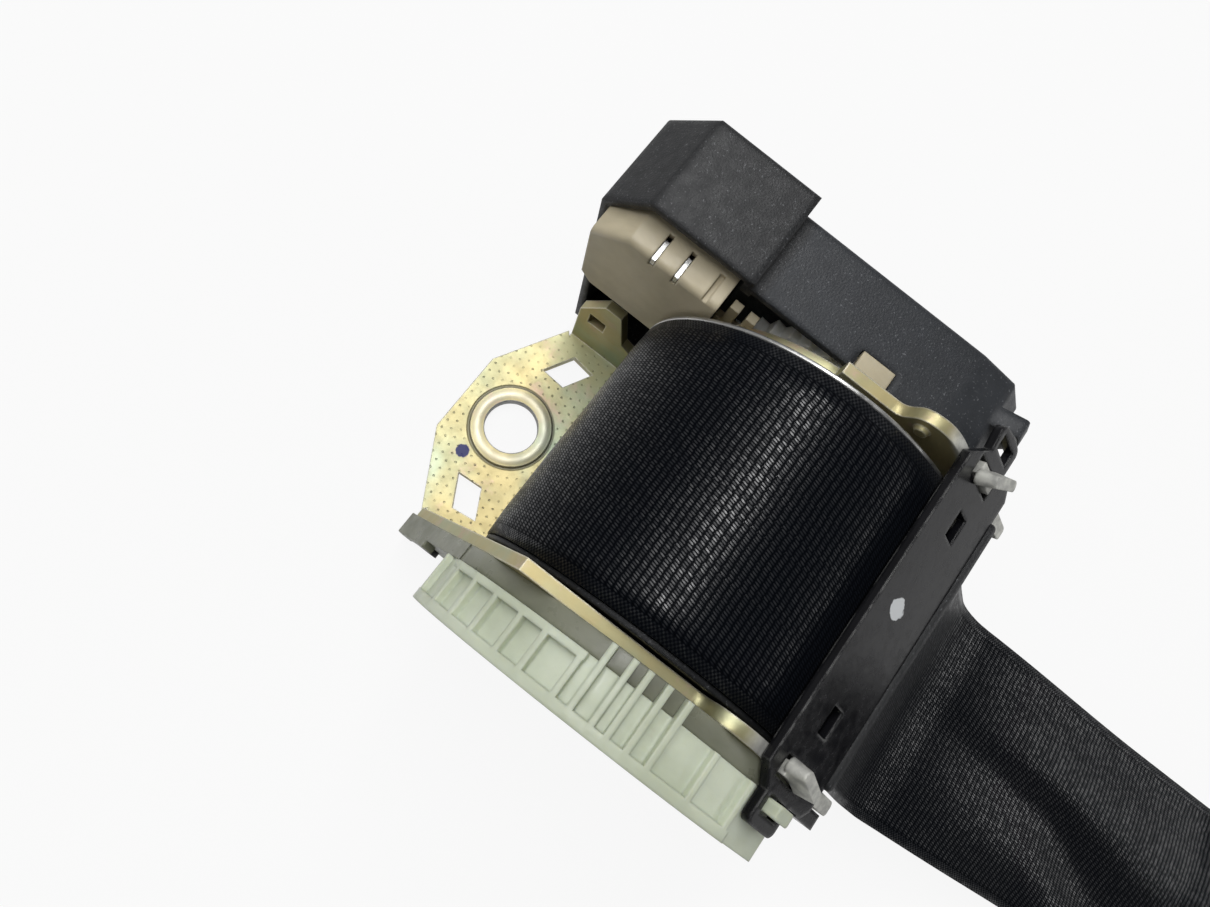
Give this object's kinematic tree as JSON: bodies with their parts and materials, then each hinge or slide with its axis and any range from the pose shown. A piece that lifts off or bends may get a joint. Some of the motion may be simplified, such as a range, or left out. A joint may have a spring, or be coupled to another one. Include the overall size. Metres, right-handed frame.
{
  "type": "seat belt retractor",
  "caption": "Three-point seat belt: emergency-locking retractor with ribbed spring cover and sensor, black webbing, sliding tongue and end anchor plate.",
  "frame": {"origin": "centre of the anchor bolt hole, on the mounting face of the retractor frame", "axes": "+Z away from the mounting face, X along the spool, the webbing leaves towards -Y"},
  "size_m": [0.0909, 0.4506, 0.0766],
  "materials": {
    "chromated_steel": "yellow chromate over zinc, satin",
    "black_ecoat": "gloss black dip coat",
    "black_webbing": "woven polyester, slight sheen",
    "ivory_nylon": "moulded, matt",
    "natural_nylon": "unpigmented moulding, slightly translucent",
    "black_plastic": "textured moulding",
    "white_acetal": "moulded",
    "bare_steel": "machined or sheared",
    "die_cast_zinc": "as cast",
    "spring_steel": "blued strip"
  },
  "bodies": {
    "frame": {"frame_bracket": "chromated_steel", "tie_bar": "black_ecoat", "webbing_guide": "black_plastic", "spring_base": "natural_nylon", "spring_cover": "natural_nylon", "mainspring": "spring_steel", "spring_bushing": "white_acetal", "spring_side_pin_1": "black_plastic", "spring_side_pin_2": "black_plastic", "lock_side_pin_1": "black_plastic", "lock_side_pin_2": "black_plastic", "mechanism_base": "ivory_nylon", "sensor_housing": "ivory_nylon", "sensor_clip": "bare_steel", "mechanism_cover": "black_plastic", "shaft_bushing": "white_acetal", "belt_strap": "black_webbing", "stop_button": "black_plastic", "end_anchor_plate": "black_ecoat"},
    "spool": {"spool_core": "die_cast_zinc", "spring_flange": "black_plastic", "lock_flange": "bare_steel", "webbing_roll": "black_webbing", "webbing_pin": "bare_steel", "torsion_bar": "bare_steel", "spring_arbor": "white_acetal", "locking_base": "die_cast_zinc", "pawl_pin": "bare_steel"},
    "pawl": {"locking_pawl": "bare_steel"},
    "gear": {"lock_gear": "white_acetal"},
    "flyweight": {"inertia_mass": "die_cast_zinc"},
    "lever": {"sensor_lever": "white_acetal"},
    "ball": {"sensor_ball": "bare_steel"},
    "tongue": {"latch_tongue": "bare_steel", "tongue_cover": "black_plastic"}
  },
  "joints": [
    {"name": "spool_spin", "type": "hinge", "parent": "frame", "child": "spool", "pos_m": [-0.0011, -0.0456, 0.04], "axis": [1, 0, 0], "range_deg": [0, 5760], "stiffness_Nm_per_rad": 0.0006, "springref_deg": -3437.75},
    {"name": "gear_lag", "type": "hinge", "parent": "spool", "child": "gear", "pos_m": [0.0321, -0.0456, 0.04], "axis": [-1, 0, 0], "range_deg": [0, 10], "stiffness_Nm_per_rad": 0.02, "springref_deg": -17.19},
    {"name": "pawl_swing", "type": "hinge", "parent": "spool", "child": "pawl", "pos_m": [0.0272, -0.0336, 0.04], "axis": [-1, 0, 0], "range_deg": [0, 15]},
    {"name": "flyweight_swing", "type": "hinge", "parent": "gear", "child": "flyweight", "pos_m": [0.0349, -0.05782, 0.03555], "axis": [1, 0, 0], "range_deg": [0, 5], "stiffness_Nm_per_rad": 0.01, "springref_deg": -17.19},
    {"name": "ball_rise", "type": "slide", "parent": "frame", "child": "ball", "axis": [0, -1, 0], "range_m": [0, 0.0014]},
    {"name": "lever_swing", "type": "hinge", "parent": "frame", "child": "lever", "pos_m": [0.033, -0.0136, 0.0576], "axis": [-1, 0, 0], "range_deg": [0, 8]},
    {"name": "tongue_slide", "type": "slide", "parent": "frame", "child": "tongue", "axis": [0, -1, 0], "range_m": [0, 0.035]}
  ],
  "couplings": [
    {"joint": "pawl_swing", "follows": "gear_lag", "ratio": 1.5},
    {"joint": "lever_swing", "follows": "ball_rise", "rad_per_m": 99.723}
  ]
}
